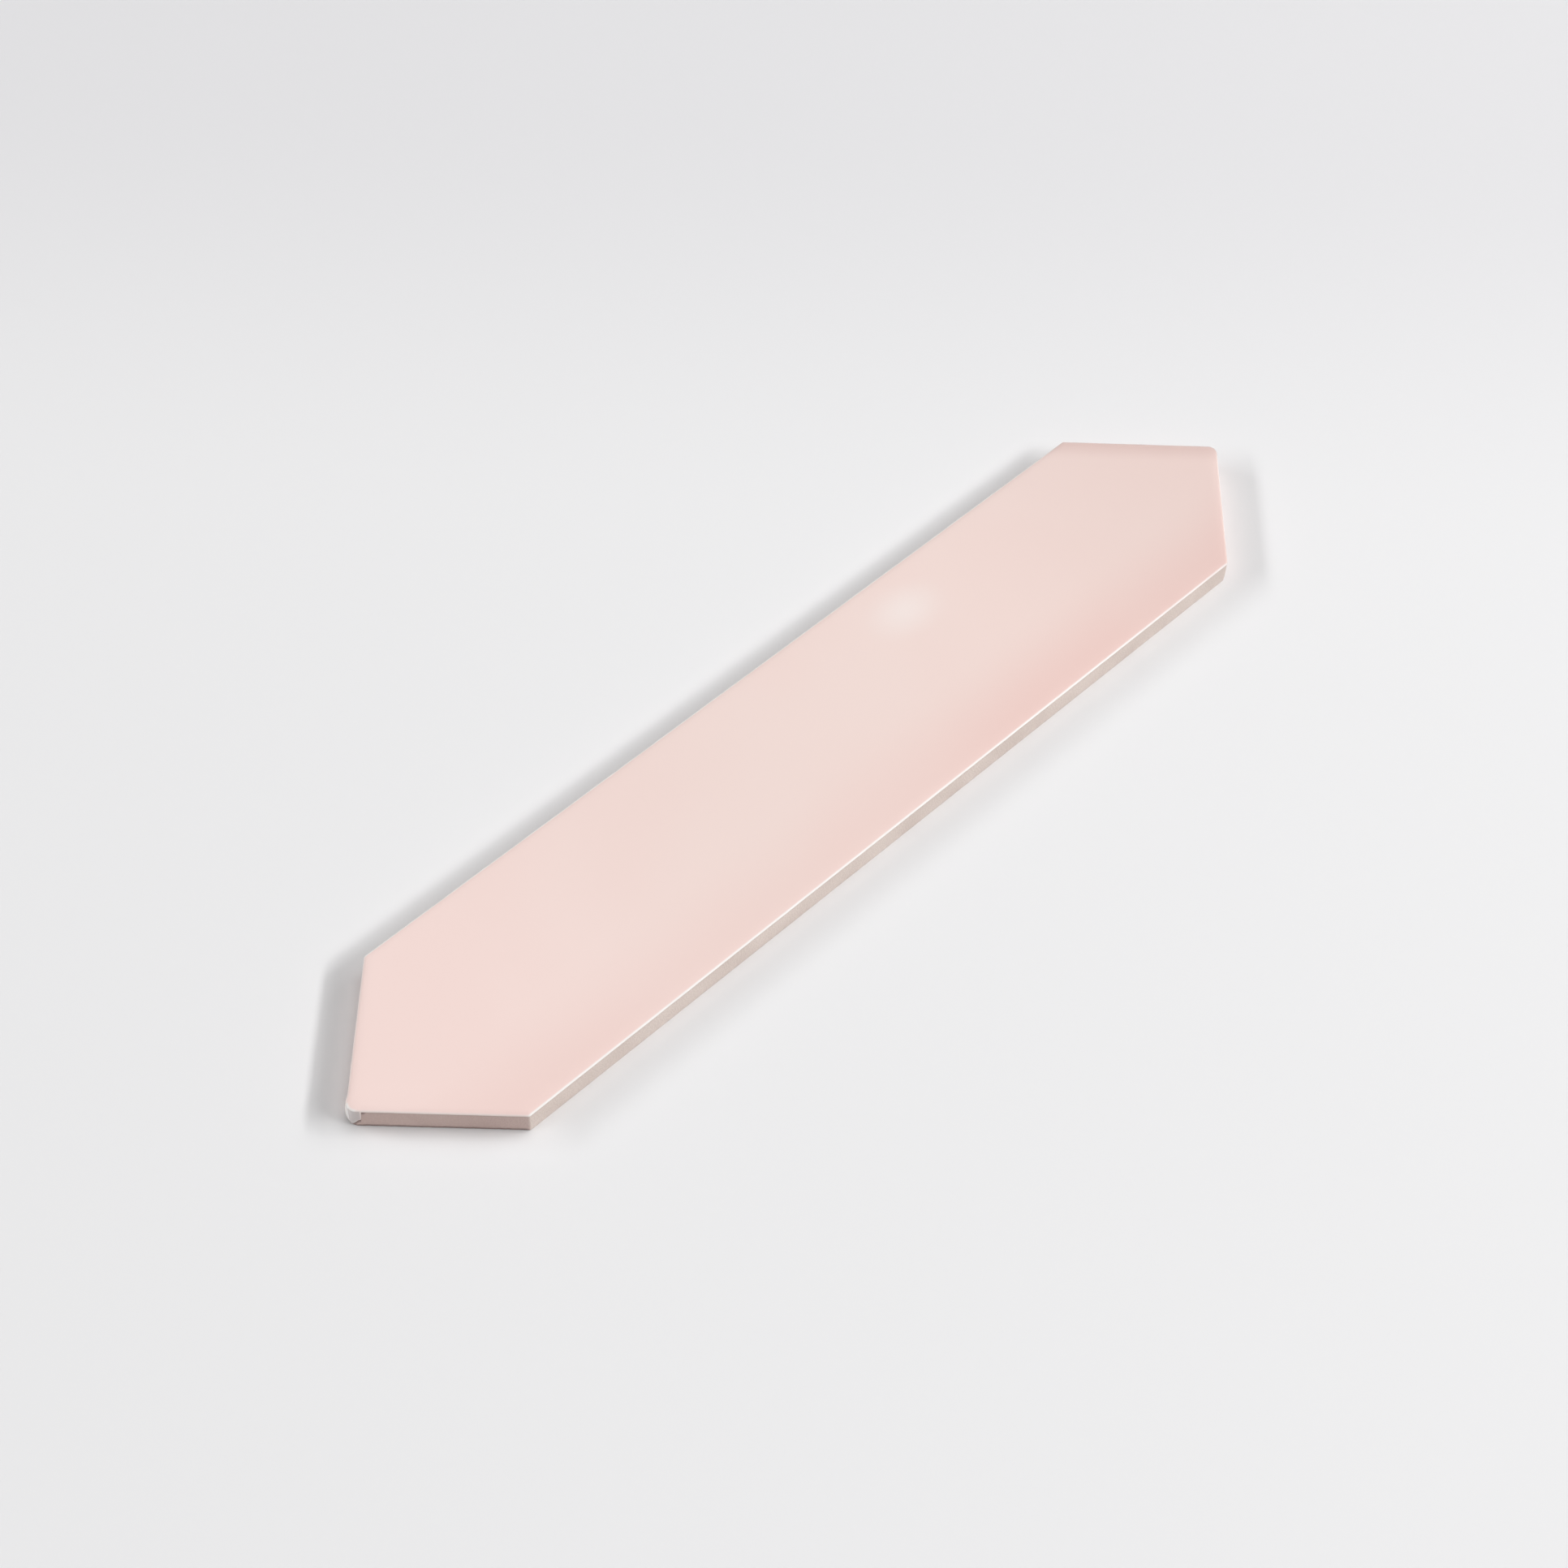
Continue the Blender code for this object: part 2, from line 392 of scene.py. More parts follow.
PALE_EDGE = 0.75 * MM
PALE_END_SHARE = 0.5  # the rim is painted less pale along the slanting ends; along the long sides the paleness is also a painted highlight
GLINT_PLACE = 0.1 * MM  # but for a painted glint, a pale streak over the point where the glaze has run
GLINT_REACH = 2.6 * MM

RUN_NEAR_END = 3.3 * MM
RUN_FAR_END = 4.8 * MM
RUN_EDGE = 0.4 * MM
RUN_LOW = 0.9 * MM  # the lowest glaze of the run, and then where it ends on the nearer side
RUN_HIGH = 3.2 * MM
RUN_RISE_START = 0.3 * MM
RUN_RISE_END = 2.9 * MM
DROP_PLACE = -2.5 * MM  # the run ends in a drop that swells out at the side of the point
DROP_REACH = 2.15 * MM
DROP_SWELL = 0.8 * MM
DROP_HEIGHT = 2.4 * MM
CLEAR_PLACE = 1.3 * MM  # the stretch of the run that is grey: clay showing through, and a painted reflection of the shaded floor
CLEAR_REACH = 1.9 * MM

LIP_STEPS = 6
UPRIGHT_STEPS = 9
CUSHION_STEPS = 12
FACE_STEP = 1.25 * MM

GLAZE_ROSE = (0.956, 0.755, 0.708)
GLAZE_CREAM = (0.90, 0.727, 0.677)
GLAZE_PINK = (0.87, 0.625, 0.575)
# painted shade towards the right-hand end and along its far slant
GLAZE_SHADE = (0.71, 0.515, 0.475)
# pale thin glaze, and also the colour of the painted highlight, glint and lamp reflection
GLAZE_THIN_AND_HIGHLIGHT = (0.97, 0.945, 0.92)
# grey of the run: the clay through the glaze, and a painted reflection of the shaded floor
GLAZE_RUN = (0.64, 0.57, 0.555)
GLAZE_CLOUD = 55.0 * MM
GLAZE_GRAIN = 5.0 * MM
GLAZE_SMOOTH = 0.10
GLAZE_DULL = 0.15
GLAZE_RELIEF = 0.006 * MM
CLOUD_SHARE = 0.15
CREAM_PLACE = -20.0 * MM  # along the tile, the clear glaze turns from cream here
ROSE_PLACE = -150.0 * MM  # to rose here
NEAR_POOL_START = -6.0 * MM  # across the tile, it pools pinker from here
NEAR_POOL_END = -32.0 * MM  # to the near long side
NEAR_POOL_DEEPENS = 60.0 * MM  # and more so from the tile's middle to here
NEAR_POOL_LEAST = 0.4
NEAR_POOL_MOST = 0.9
GLAZE_END_SHADE_START = 60.0 * MM  # painted shade darkens it towards the right-hand end, most by its far slant
GLAZE_END_SHADE_END = 155.0 * MM
GLAZE_END_SHADE_SHARE = 0.31
SLANT_SHADE_WIDTH = 11.0 * MM
SLANT_SHADE_SHARE = 0.55
REFLECTION_SPOT_PLACE = (52.0 * MM, 18.5 * MM, THICKNESS)  # a painted reflection of a lamp: a pale spot on the face
REFLECTION_SPOT_RADII = (16.0 * MM, 11.0 * MM, THICKNESS)
REFLECTION_SPOT_SHARE = 0.33
THIN_AND_HIGHLIGHT_SHARE = 0.9
RUN_SHARE = 0.8

glaze, tree, shader, place, marks = new_finish("pink_glaze", GLAZE_CLOUD, GLAZE_GRAIN)
axes = add_node(tree, "ShaderNodeSeparateXYZ")
join(tree, place, axes.inputs[0])
rose_share = spread(tree, axes.outputs["X"], CREAM_PLACE, ROSE_PLACE)
clear_colour = blend_colours(tree, rose_share, GLAZE_CREAM, GLAZE_ROSE)
near_side = spread(tree, axes.outputs["Y"], NEAR_POOL_START, NEAR_POOL_END)
near_depth = spread(tree, axes.outputs["X"], 0.0, NEAR_POOL_DEEPENS, NEAR_POOL_LEAST, NEAR_POOL_MOST)
near_pool = combine(tree, "MULTIPLY", near_side, near_depth)
# Painted shade: the glaze darkens towards the right-hand end, most along its far slant.
glaze_end_shade = spread(tree, axes.outputs["X"], GLAZE_END_SHADE_START, GLAZE_END_SHADE_END, 0.0, GLAZE_END_SHADE_SHARE)
slant_place = combine(tree, "ADD", axes.outputs["X"], axes.outputs["Y"])
slant_start = sharp_reach - SLANT_SHADE_WIDTH
slant_shade = spread(tree, slant_place, slant_start, sharp_reach, 0.0, SLANT_SHADE_SHARE)
pooled = spread(tree, marks["Clouds"], 0.0, 1.0, 0.0, CLOUD_SHARE)
colour = blend_colours(tree, combine(tree, "ADD", pooled, near_pool), clear_colour, GLAZE_PINK)
# The painted reflection of a lamp, a pale spot on the face.
from_reflection_spot = place
for operation, amounts in (("SUBTRACT", REFLECTION_SPOT_PLACE), ("DIVIDE", REFLECTION_SPOT_RADII)):
    moved = add_node(tree, "ShaderNodeVectorMath", operation=operation)
    moved.inputs[1].default_value = amounts
    join(tree, from_reflection_spot, moved.inputs[0])
    from_reflection_spot = moved.outputs[0]
reflection_spot_reach = add_node(tree, "ShaderNodeVectorMath", operation="LENGTH")
join(tree, from_reflection_spot, reflection_spot_reach.inputs[0])
reflection_spot_share = spread(tree, reflection_spot_reach.outputs["Value"], 0.0, 1.0, REFLECTION_SPOT_SHARE, 0.0)
colour = blend_colours(tree, reflection_spot_share, colour, GLAZE_THIN_AND_HIGHLIGHT)
# Thin glaze breaks pale at the rim; along the long sides this is also a painted highlight, and by
# the run a painted glint.
thin_and_highlight_share = spread(tree, painted(tree, "thin_glaze_and_highlight"), 0.0, 1.0, 0.0, THIN_AND_HIGHLIGHT_SHARE)
colour = blend_colours(tree, thin_and_highlight_share, colour, GLAZE_THIN_AND_HIGHLIGHT)
colour = blend_colours(tree, combine(tree, "ADD", glaze_end_shade, slant_shade), colour, GLAZE_SHADE)
# The run is painted grey: partly the clay showing through, partly a painted reflection of the shaded
# floor.
run_share = spread(tree, painted(tree, "glaze_run"), 0.0, 1.0, 0.0, RUN_SHARE)
colour = blend_colours(tree, run_share, colour, GLAZE_RUN)
join(tree, colour, shader.inputs["Base Color"])
rough = spread(tree, marks["Clouds"], 0.0, 1.0, GLAZE_SMOOTH, GLAZE_DULL)
join(tree, rough, shader.inputs["Roughness"])
add_bump(tree, shader, marks["Grain"], GLAZE_RELIEF)


def run_height(distance):
    """The lowest glaze of the run at a distance from the point. It climbs on the nearer side."""
    return RUN_LOW + (RUN_HIGH - RUN_LOW) * smooth_step(RUN_RISE_START, RUN_RISE_END, distance)


def drop_swell(distance, height):
    """How far the drop at the end of the run swells out beyond the rim at one place."""
    across = 1 - smooth_step(0.0, DROP_REACH, abs(distance - DROP_PLACE))
    above = max(height - DROP_HEIGHT, 0.0) / (THICKNESS - DROP_HEIGHT)
    return DROP_SWELL * across * (1 - min(above, 1.0) ** 2)


def run_amount(distance):
    """1 where the glaze has run down the side, and 0 elsewhere along the rim."""
    end = RUN_NEAR_END if distance > 0 else RUN_FAR_END
    return 1 - smooth_step(end - RUN_EDGE, end, abs(distance))


def lip_height(x, y, distance):
    """The lower line of the glaze: wavy all round, and drawn down where it has run."""
    wave = LIP_WAVE * wobble(x, y, 0.0, LIP_WAVELENGTH, LIP_SEED)
    ripple = LIP_RIPPLE * wobble(x, y, 0.0, LIP_RIPPLE_LENGTH, LIP_RIPPLE_SEED)
    free_height = THICKNESS - GLAZE_WRAP + wave + ripple
    share = run_amount(distance)
    return free_height * (1 - share) + run_height(distance) * share


def face_height(x, y):
    """The fired face is never quite flat: it dips by a few hundredths of a millimetre."""
    return THICKNESS - FACE_WAVE * (0.5 + 0.5 * wobble(x, y, 0.0, FACE_WAVELENGTH, FACE_SEED))


def glaze_levels(x, y, lip, distance):
    """Inset, swell and height over the glaze's lip and cushion at one place, up to the face."""
    levels = []
    lip_swell = drop_swell(distance, lip)
    bead = LIP_BEAD + lip_swell
    for step in range(1, LIP_STEPS + 1):
        angle = math.pi / 2 * step / LIP_STEPS
        height = lip + bead * (1 - math.cos(angle))
        levels.append((GLAZE_PROUD * (1 - math.sin(angle)), lip_swell * math.sin(angle), height))
    top = face_height(x, y)
    sag = CUSHION_WAVE * wobble(x, y, 0.0, CUSHION_WAVELENGTH, CUSHION_SEED)
    drop = CUSHION_DROP * (1 + sag)
    bead_top = lip + bead
    for step in range(1, UPRIGHT_STEPS):
        height = bead_top + (top - drop - bead_top) * step / UPRIGHT_STEPS
        levels.append((0.0, drop_swell(distance, height), height))
    for step in range(CUSHION_STEPS + 1):
        angle = math.pi / 2 * step / CUSHION_STEPS
        across = 1 - math.cos(angle) ** (2 / CUSHION_FULLNESS)
        up = math.sin(angle) ** (2 / CUSHION_FULLNESS)
        height = top - drop * (1 - up)
        swell = drop_swell(distance, height) * (1 - across)
        levels.append((CUSHION_WIDTH * across, swell, height))
    return levels


def paleness(x, distance, inset):
    """How pale the glaze is painted over the rim: partly thin glaze breaking pale, partly a painted
    highlight along the long sides, and a painted glint by the run.
    """
    glint = 1 - smooth_step(GLINT_REACH / 2, GLINT_REACH, abs(distance - GLINT_PLACE))
    share = max(1 - (1 - PALE_END_SHARE) * end_share(x), glint)
    return share * (1 - smooth_step(0.0, PALE_EDGE, inset))


def run_share_at(distance, lip, height):
    """How deep inside the clear stretch of the run a place on the upright glaze lies."""
    up_from_lip = smooth_step(lip, lip + RUN_EDGE, height)
    down_from_rim = 1 - smooth_step(THICKNESS - GLAZE_WRAP, THICKNESS - CUSHION_DROP / 2, height)
    from_side = 1 - smooth_step(CLEAR_REACH - RUN_EDGE, CLEAR_REACH, abs(distance - CLEAR_PLACE))
    return up_from_lip * down_from_rim * from_side


# The slab
# Body and glaze are one fired piece, so they are one closed skin: a column of points up the side at
# each place along the rim, and rings that shrink over the face to its middle line.
BISQUE_SLOT = 0
GLAZE_SLOT = 1
MERGE_DISTANCE = 0.01 * MM

rim_plan = plan_ring(0.0)
inner_plan = plan_ring(CUSHION_WIDTH)
from_run = distances_from_run(rim_plan)

bm = bmesh.new()
shaded_ends = bm.verts.layers.float.new("shaded_ends")
painted_shade = bm.verts.layers.float.new("painted_shade")
thin_glaze_and_highlight = bm.verts.layers.float.new("thin_glaze_and_highlight")
glaze_run = bm.verts.layers.float.new("glaze_run")
columns = []
for index, (x, y) in enumerate(rim_plan):
    outer = Vector(rim_plan[index])
    inner = Vector(inner_plan[index])
    lip = lip_height(x, y, from_run[index])
    column = []
    for inset, height, shade_amount in body_levels(x, y, lip, run_shade_share(from_run[index])):
        vertex = bm.verts.new((*outer.lerp(inner, inset / CUSHION_WIDTH), height))
        # The ends get painted shade, darker and warmer.
        vertex[shaded_ends] = end_share(x)
        # Painted shade at the foot of the ends and under the lip and the run.
        vertex[painted_shade] = shade_amount
        vertex[thin_glaze_and_highlight] = 1.0
        column.append(vertex)
    bare_levels = len(column)
    along = Vector(rim_plan[(index + 1) % len(rim_plan)]) - Vector(rim_plan[index - 1])
    outward = Vector((along.y, -along.x)).normalized()
    for inset, swell, height in glaze_levels(x, y, lip, from_run[index]):
        spot = outer.lerp(inner, inset / CUSHION_WIDTH) + outward * swell
        vertex = bm.verts.new((*spot, height))
        # Thin glaze at the rim, with a painted highlight along the long sides and a painted glint by
        # the run.
        vertex[thin_glaze_and_highlight] = paleness(x, from_run[index], inset)
        vertex[glaze_run] = run_share_at(from_run[index], lip, height)
        column.append(vertex)
    columns.append(column)
rings = [list(ring) for ring in zip(*columns)]
face_rings = round((HALF_WIDTH - CUSHION_WIDTH) / FACE_STEP)
for step in range(1, face_rings + 1):
    inset = CUSHION_WIDTH + (HALF_WIDTH - CUSHION_WIDTH) * step / face_rings
    rings.append([bm.verts.new((x, y, face_height(x, y))) for x, y in plan_ring(inset)])

bm.faces.new(list(reversed(rings[0]))).material_index = BISQUE_SLOT
for level, (lower, upper) in enumerate(zip(rings, rings[1:])):
    slot = BISQUE_SLOT if level < bare_levels - 1 else GLAZE_SLOT
    for index in range(len(lower)):
        corners = (lower[index - 1], lower[index], upper[index], upper[index - 1])
        bm.faces.new(corners).material_index = slot
bmesh.ops.remove_doubles(bm, verts=rings[-1], dist=MERGE_DISTANCE)
slab_mesh = bpy.data.meshes.new("slab")
bm.to_mesh(slab_mesh)
bm.free()
slab = bpy.data.objects.new("slab", slab_mesh)
slab_mesh.materials.append(bisque)
slab_mesh.materials.append(glaze)
bpy.context.scene.collection.objects.link(slab)

# The keyed back
# The press leaves rows of shallow square pockets in the back, which the adhesive grips. Their walls
# lean in and their corners are round. A plain border runs round them.
BACK_BORDER = 3.0 * MM
KEY_SIZE = 12.0 * MM
KEY_RIB = 2.4 * MM
KEY_DEPTH = 0.8 * MM
KEY_DRAFT = 0.35 * MM
KEY_ROUNDING = 1.2 * MM
KEY_CORNER_STEPS = 5
KEY_FILLET = 0.3 * MM
KEY_FILLET_STEPS = 3
KEY_MOUTH = 0.15 * MM
BELOW_BACK = 1.0 * MM
SHARP_CREASE = math.radians(32.0)

pitch = KEY_SIZE + KEY_RIB
field_inset = GLAZE_PROUD + FOOT_CHAMFER + BACK_BORDER
field_reach = sharp_reach - field_inset * slant_length / HALF_WIDTH
field_half_width = HALF_WIDTH - field_inset


def rounded_square(side, rounding):
    centre = side / 2 - rounding
    points = []
    for quarter in range(4):
        middle = math.pi / 2 * (quarter + 0.5)
        for step in range(KEY_CORNER_STEPS + 1):
            angle = math.pi / 2 * (quarter + step / KEY_CORNER_STEPS)
            x = math.copysign(centre, math.cos(middle)) + rounding * math.cos(angle)
            y = math.copysign(centre, math.sin(middle)) + rounding * math.sin(angle)
            points.append((x, y))
    return points


def key_levels():
    """Side and height of one pocket, from below the back up to its floor."""
    levels = [(KEY_SIZE + 2 * KEY_MOUTH, -BELOW_BACK), (KEY_SIZE + 2 * KEY_MOUTH, 0.0)]
    levels.append((KEY_SIZE, KEY_MOUTH))
    wall_top = KEY_DEPTH - KEY_FILLET
    for step in range(KEY_FILLET_STEPS + 1):
        angle = math.pi / 2 * step / KEY_FILLET_STEPS
        side = KEY_SIZE - 2 * KEY_DRAFT - 2 * KEY_FILLET * (1 - math.cos(angle))
        levels.append((side, wall_top + KEY_FILLET * math.sin(angle)))
    return levels


def prism(name, plans, heights):
    """A closed solid through one ring of points at each height."""
    bm = bmesh.new()
    rings = []
    for points, height in zip(plans, heights):
        rings.append([bm.verts.new((x, y, height)) for x, y in points])
    bm.faces.new(list(reversed(rings[0])))
    bm.faces.new(rings[-1])
    for lower, upper in zip(rings, rings[1:]):
        for index in range(len(lower)):
            bm.faces.new((lower[index - 1], lower[index], upper[index], upper[index - 1]))
    mesh = bpy.data.meshes.new(name)
    bm.to_mesh(mesh)
    bm.free()
    made = bpy.data.objects.new(name, mesh)
    bpy.context.scene.collection.objects.link(made)
    return made


def key_grid():
    """A tree that sets a key at each place of a square grid that lies inside the field."""
    tree = bpy.data.node_groups.new("key_grid", "GeometryNodeTree")
    for name, kind in (
        ("Key", "NodeSocketGeometry"),
        ("Pitch", "NodeSocketFloat"),
        ("Columns", "NodeSocketInt"),
        ("Rows", "NodeSocketInt"),
        ("Reach", "NodeSocketFloat"),
        ("Material", "NodeSocketMaterial"),
    ):
        tree.interface.new_socket(name, in_out="INPUT", socket_type=kind)
    tree.interface.new_socket("Keys", in_out="OUTPUT", socket_type="NodeSocketGeometry")
    given = add_node(tree, "NodeGroupInput").outputs
    grid = add_node(tree, "GeometryNodeMeshGrid")
    for count, axis in (("Columns", "X"), ("Rows", "Y")):
        spans = add_node(tree, "ShaderNodeMath", operation="SUBTRACT")
        spans.inputs[1].default_value = 1.0
        length = add_node(tree, "ShaderNodeMath", operation="MULTIPLY")
        join(tree, given[count], spans.inputs[0])
        join(tree, spans.outputs[0], length.inputs[0])
        join(tree, given["Pitch"], length.inputs[1])
        join(tree, given[count], grid.inputs["Vertices " + axis])
        join(tree, length.outputs[0], grid.inputs["Size " + axis])
    place = add_node(tree, "ShaderNodeSeparateXYZ")
    join(tree, add_node(tree, "GeometryNodeInputPosition").outputs[0], place.inputs[0])
    total = add_node(tree, "ShaderNodeMath", operation="ADD")
    for axis, target in zip(("X", "Y"), total.inputs):
        outward = add_node(tree, "ShaderNodeMath", operation="ABSOLUTE")
        join(tree, place.outputs[axis], outward.inputs[0])
        join(tree, outward.outputs[0], target)
    outside = add_node(tree, "ShaderNodeMath", operation="GREATER_THAN")
    join(tree, total.outputs[0], outside.inputs[0])
    join(tree, given["Reach"], outside.inputs[1])
    inside = add_node(tree, "GeometryNodeDeleteGeometry", domain="POINT")
    join(tree, grid.outputs["Mesh"], inside.inputs["Geometry"])
    join(tree, outside.outputs[0], inside.inputs["Selection"])
    keys = add_node(tree, "GeometryNodeInstanceOnPoints")
    join(tree, inside.outputs["Geometry"], keys.inputs["Points"])
    join(tree, given["Key"], keys.inputs["Instance"])
    real = add_node(tree, "GeometryNodeRealizeInstances")
    join(tree, keys.outputs["Instances"], real.inputs["Geometry"])
    finished = add_node(tree, "GeometryNodeSetMaterial")
    join(tree, real.outputs["Geometry"], finished.inputs["Geometry"])
    join(tree, given["Material"], finished.inputs["Material"])
    join(tree, finished.outputs["Geometry"], add_node(tree, "NodeGroupOutput").inputs["Keys"])
    return tree


def made_plain(source, name):
    """A new object with the plain mesh of another one's modifiers. The other one goes."""
    bpy.context.view_layer.update()
    evaluated = source.evaluated_get(bpy.context.evaluated_depsgraph_get())
    mesh = bpy.data.meshes.new_from_object(evaluated)
    mesh.name = name
    bpy.data.objects.remove(source, do_unlink=True)
    made = bpy.data.objects.new(name, mesh)
    bpy.context.scene.collection.objects.link(made)
    return made


def add_boolean(target, cutter, operation):
    modifier = target.modifiers.new(operation.lower(), "BOOLEAN")
    modifier.operation = operation
    modifier.solver = "MANIFOLD"
    modifier.object = cutter


levels = key_levels()
squares = [rounded_square(side, KEY_ROUNDING) for side, height in levels]
one_key = prism("one_key", squares, [height for side, height in levels])
one_key.data.materials.append(bisque)
grid_modifier = one_key.modifiers.new("key_grid", "NODES")
grid_modifier.node_group = key_grid()
key_settings = {
    "Pitch": pitch,
    "Columns": 2 * math.floor((field_reach - pitch / 2) / pitch + 0.5),
    "Rows": 2 * math.floor(field_half_width / pitch + 0.5),
    "Reach": field_reach,
    "Material": bisque,
}
for socket in grid_modifier.node_group.interface.items_tree:
    if socket.name in key_settings:
        grid_modifier[socket.identifier] = key_settings[socket.name]
keys = made_plain(one_key, "keys")
field = prism("key_field", [plan_ring(field_inset)] * 2, [-2 * BELOW_BACK, 2 * KEY_DEPTH])
field.data.materials.append(bisque)
add_boolean(keys, field, "INTERSECT")
keys = made_plain(keys, "trimmed_keys")
add_boolean(slab, keys, "DIFFERENCE")
tile = made_plain(slab, "glazed_picket_tile")
for helper in (field, keys):
    bpy.data.objects.remove(helper, do_unlink=True)
tile.data.shade_smooth()
tile.data.set_sharp_from_angle(angle=SHARP_CREASE)

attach(tile, "root")
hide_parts(CAD_NODE)

# The studio
# A plain pale floor that runs out into a pale surround, and the camera where the photograph was
# taken. Soft lamps stand all round and show in no gloss, and two cards show only in the gloss.
FLOOR_SIZE = 12.0
FLOOR_COLOUR = (0.868, 0.865, 0.871)
FAR_FLOOR_COLOUR = (0.797, 0.792, 0.805)
SURROUND_COLOUR = (0.80, 0.80, 0.81)
FLOOR_ROUGHNESS = 0.7
FLOOR_SHEEN = 0.2
FAR_SIDE = (0.72, 0.694, 0.0)  # the floor dims a little on that side, where the light falls off
FLOOR_FADE_START = 0.08
FLOOR_FADE_END = 0.27
PLAIN_FLOOR_RADIUS = 0.5
SURROUND_RADIUS = 1.1
AMBIENT = 0.09
LAMP_DISTANCE = 4.0

floor_mesh = bpy.data.meshes.new("floor")
bm = bmesh.new()
bmesh.ops.create_grid(bm, x_segments=1, y_segments=1, size=FLOOR_SIZE / 2)
bm.to_mesh(floor_mesh)
bm.free()
floor = bpy.data.objects.new("floor", floor_mesh)
bpy.context.scene.collection.objects.link(floor)


def seen_directly(tree):
    """1 for the camera's own rays and for those of gloss and glass, 0 for light that spreads."""
    path = add_node(tree, "ShaderNodeLightPath")
    seen = path.outputs["Is Camera Ray"]
    for name in ("Is Glossy Ray", "Is Transmission Ray"):
        either = add_node(tree, "ShaderNodeMath", operation="MAXIMUM")
        join(tree, seen, either.inputs[0])
        join(tree, path.outputs[name], either.inputs[1])
        seen = either.outputs[0]
    return seen


floor_material = bpy.data.materials.new("pale_floor")
floor_material.use_nodes = True
tree = floor_material.node_tree
shader = tree.nodes["Principled BSDF"]
shader.inputs["Roughness"].default_value = FLOOR_ROUGHNESS
shader.inputs["Specular IOR Level"].default_value = FLOOR_SHEEN
floor_place = add_node(tree, "ShaderNodeTexCoord").outputs["Object"]
away = add_node(tree, "ShaderNodeVectorMath", operation="DOT_PRODUCT")
away.inputs[1].default_value = FAR_SIDE
join(tree, floor_place, away.inputs[0])
dimmed = spread(tree, away.outputs["Value"], FLOOR_FADE_START, FLOOR_FADE_END)
join(tree, blend_colours(tree, dimmed, FLOOR_COLOUR, FAR_FLOOR_COLOUR), shader.inputs["Base Color"])
distance = add_node(tree, "ShaderNodeVectorMath", operation="LENGTH")
join(tree, floor_place, distance.inputs[0])
far_off = spread(tree, distance.outputs["Value"], PLAIN_FLOOR_RADIUS, SURROUND_RADIUS)
faded = add_node(tree, "ShaderNodeMath", operation="MULTIPLY")
join(tree, far_off, faded.inputs[0])
join(tree, seen_directly(tree), faded.inputs[1])
glow = add_node(tree, "ShaderNodeEmission")
glow.inputs["Color"].default_value = (*SURROUND_COLOUR, 1.0)
mixed = add_node(tree, "ShaderNodeMixShader")
join(tree, faded.outputs[0], mixed.inputs[0])
join(tree, shader.outputs[0], mixed.inputs[1])
join(tree, glow.outputs[0], mixed.inputs[2])
join(tree, mixed.outputs[0], tree.nodes["Material Output"].inputs["Surface"])
floor_mesh.materials.append(floor_material)

world = bpy.data.worlds.new("studio")
bpy.context.scene.world = world
world.use_nodes = True
tree = world.node_tree
ambient = tree.nodes["Background"]
ambient.inputs["Color"].default_value = (1.0, 1.0, 1.0, 1.0)
ambient.inputs["Strength"].default_value = AMBIENT
surround = add_node(tree, "ShaderNodeBackground")
surround.inputs["Color"].default_value = (*SURROUND_COLOUR, 1.0)
mixed = add_node(tree, "ShaderNodeMixShader")
join(tree, seen_directly(tree), mixed.inputs[0])
join(tree, ambient.outputs[0], mixed.inputs[1])
join(tree, surround.outputs[0], mixed.inputs[2])
join(tree, mixed.outputs[0], tree.nodes["World Output"].inputs["Surface"])


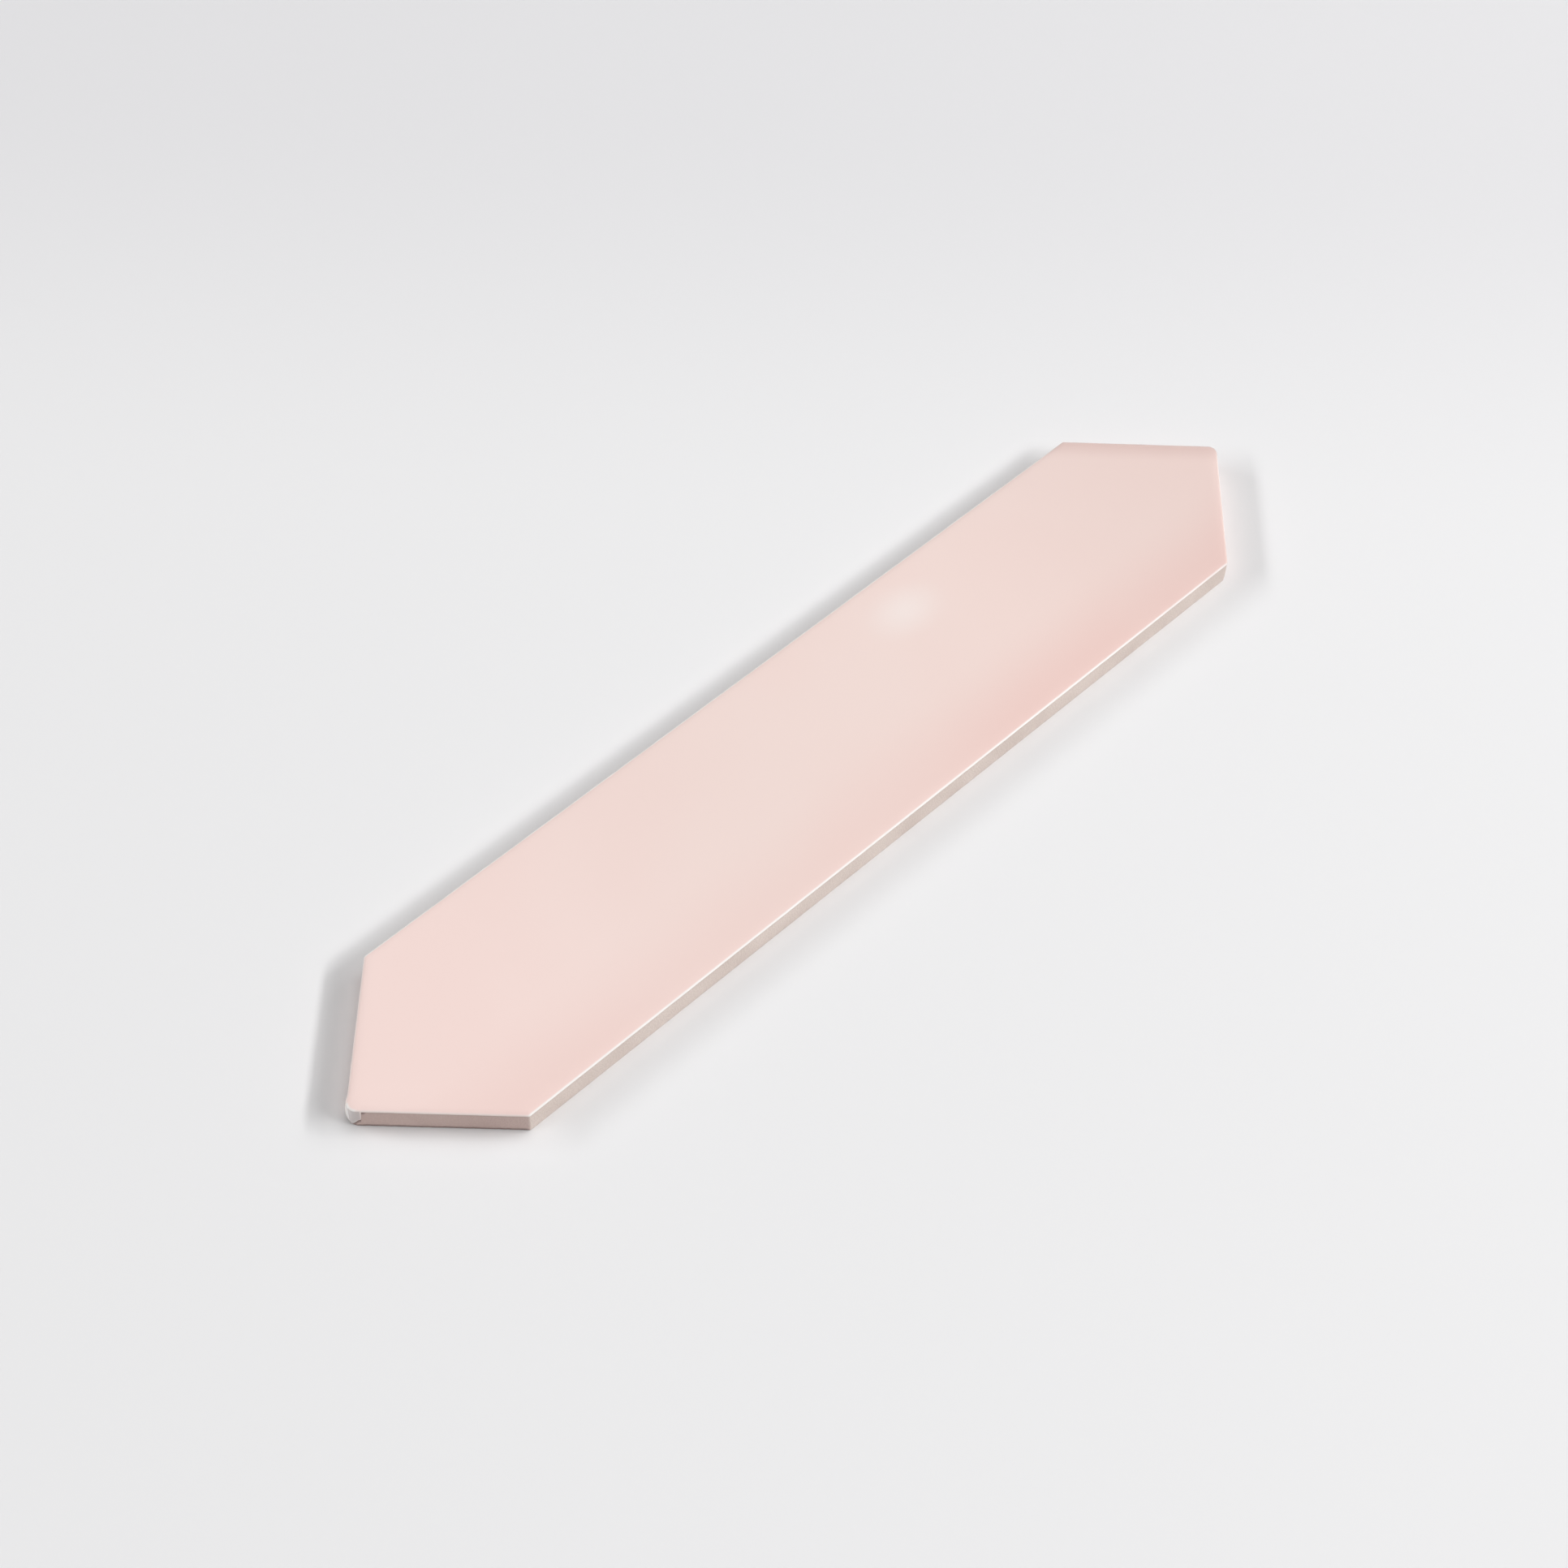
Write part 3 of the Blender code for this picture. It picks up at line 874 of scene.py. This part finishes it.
def add_light(name, azimuth, elevation, width, height, share):
    """A rectangular light that faces the tile from LAMP_DISTANCE away.

    Its share is the part of the floor's light that it gives, or would give if it lit the floor.
    """
    azimuth = math.radians(azimuth)
    elevation = math.radians(elevation)
    level = math.cos(elevation)
    place = Vector((level * math.cos(azimuth), level * math.sin(azimuth), math.sin(elevation)))
    lamp = bpy.data.lights.new(name, "AREA")
    lamp.shape = "RECTANGLE"
    lamp.size = width
    lamp.size_y = height
    lamp.energy = share * (math.pi * LAMP_DISTANCE) ** 2 / math.sin(elevation)
    holder = bpy.data.objects.new(name, lamp)
    facing = place.to_track_quat("Z", "Y").to_matrix().to_4x4()
    holder.matrix_world = Matrix.Translation(place * LAMP_DISTANCE) @ facing
    bpy.context.scene.collection.objects.link(holder)
    return holder


# Each light has its azimuth and elevation in degrees, its width and height, and its share.
for lamp in (
    add_light("main_lamp", 316.0, 34.5, 2.20, 0.35, 0.297),
    add_light("left_lamp", 137.0, 29.8, 3.80, 0.50, 0.257),
    add_light("right_lamp", -12.0, 36.0, 1.60, 1.40, 0.09),
    add_light("near_lamp", 291.0, 36.0, 0.90, 0.70, 0.115),
    add_light("top_lamp", 9.0, 70.8, 2.20, 1.90, 0.195),
):
    lamp.visible_glossy = False
for card in (
    add_light("near_card", 306.0, 38.0, 2.20, 2.00, 0.15),
    add_light("left_card", 130.0, 33.0, 2.00, 1.40, 0.09),
):
    card.visible_diffuse = False

CAMERA_AIM = (-0.011433, 0.001951, 0.0)
CAMERA_DISTANCE = 0.79453
CAMERA_AZIMUTH = math.radians(-46.088)
CAMERA_ELEVATION = math.radians(53.694)
CAMERA_ROLL = math.radians(2.532)
CAMERA_LENS = 66.424

camera_data = bpy.data.cameras.new("camera")
camera_data.lens = CAMERA_LENS
camera = bpy.data.objects.new("camera", camera_data)
camera.matrix_world = (
    Matrix.Translation(CAMERA_AIM)
    @ Matrix.Rotation(CAMERA_AZIMUTH, 4, "Z")
    @ Matrix.Rotation(math.pi / 2 - CAMERA_ELEVATION, 4, "X")
    @ Matrix.Translation((0.0, 0.0, CAMERA_DISTANCE))
    @ Matrix.Rotation(CAMERA_ROLL, 4, "Z")
)
bpy.context.scene.collection.objects.link(camera)
bpy.context.scene.camera = camera
bpy.context.scene.view_settings.view_transform = "Standard"
